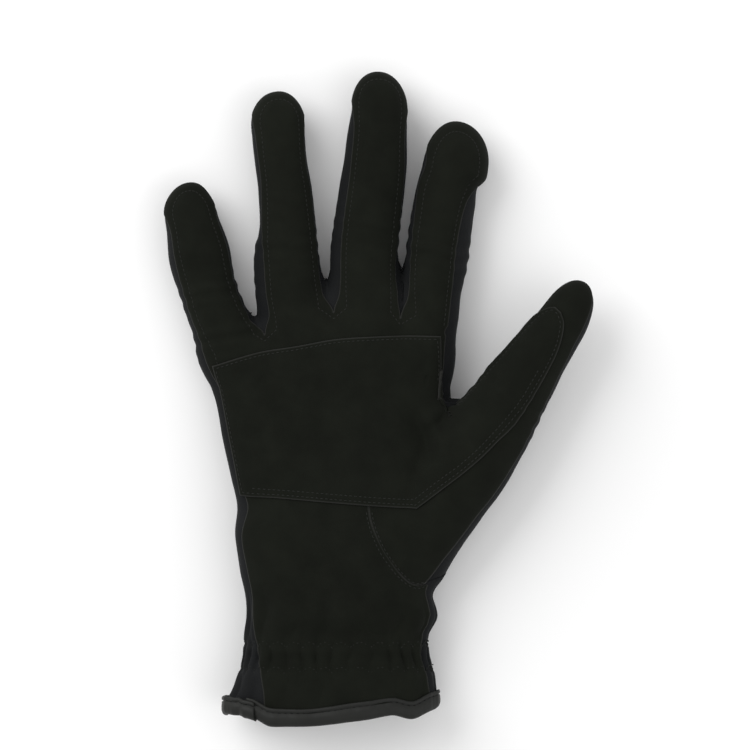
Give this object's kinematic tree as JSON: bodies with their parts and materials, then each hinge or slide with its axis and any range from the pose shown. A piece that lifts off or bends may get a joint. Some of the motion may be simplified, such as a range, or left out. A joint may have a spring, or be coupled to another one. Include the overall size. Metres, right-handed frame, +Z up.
{
  "type": "horse riding glove",
  "caption": "Right-hand riding glove with a sewn reinforcement on the palm and thumb and an elastic wrist, lying palm up.",
  "frame": {"origin": "under the middle of the glove, on the surface that it lies on", "axes": "+Y from the hem towards the fingertips, +X across the palm towards the thumb, +Z up out of the palm"},
  "size_m": [0.1594, 0.2406, 0.0312],
  "materials": {
    "suede": "matt black synthetic suede",
    "cloth": "black stretch cloth with a faint cool sheen",
    "binding": "smooth dark grey leather, satin"
  },
  "bodies": {
    "root": {"palm_panel": "suede", "thumb_front": "suede", "palm_patch": "suede", "thumb_back": "cloth", "back_panel": "cloth", "fourchette_little_ring": "cloth", "fourchette_ring_middle": "cloth", "fourchette_middle_index": "cloth", "cuff_binding": "binding"}
  },
  "joints": []
}
